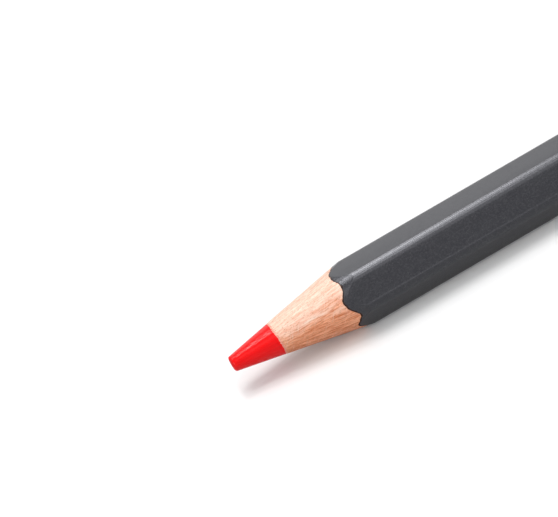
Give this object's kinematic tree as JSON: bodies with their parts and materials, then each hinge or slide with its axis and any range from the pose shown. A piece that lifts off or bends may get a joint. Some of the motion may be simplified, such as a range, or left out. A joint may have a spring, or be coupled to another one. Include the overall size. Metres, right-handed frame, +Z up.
{
  "type": "watercolour pencil",
  "caption": "Sharpened hexagonal wood-cased watercolour pencil: red water-soluble core, dark grey lacquered barrel and a dipped red end.",
  "frame": {"origin": "on the surface the pencil lies on, under the middle of its length and width", "axes": "+X runs along the pencil from the sharpened tip to the dipped end, +Z points up, square to the facet it lies on, and +Y points to the back"},
  "size_m": [0.175, 0.0078, 0.0071],
  "materials": {
    "pigment": "satin, streaked along the cut",
    "casing_wood": "bare, fresh cut",
    "wood_glue": "dull",
    "ground_lacquer": "matt",
    "barrel_lacquer": "satin",
    "end_lacquer": "gloss"
  },
  "bodies": {
    "root": {"pigment_core": "pigment", "core_glue": "wood_glue", "upper_slat": "casing_wood", "lower_slat": "casing_wood", "front_seam_glue": "wood_glue", "back_seam_glue": "wood_glue", "ground_coat": "ground_lacquer", "colour_coat": "barrel_lacquer", "end_dip": "end_lacquer"}
  },
  "joints": []
}
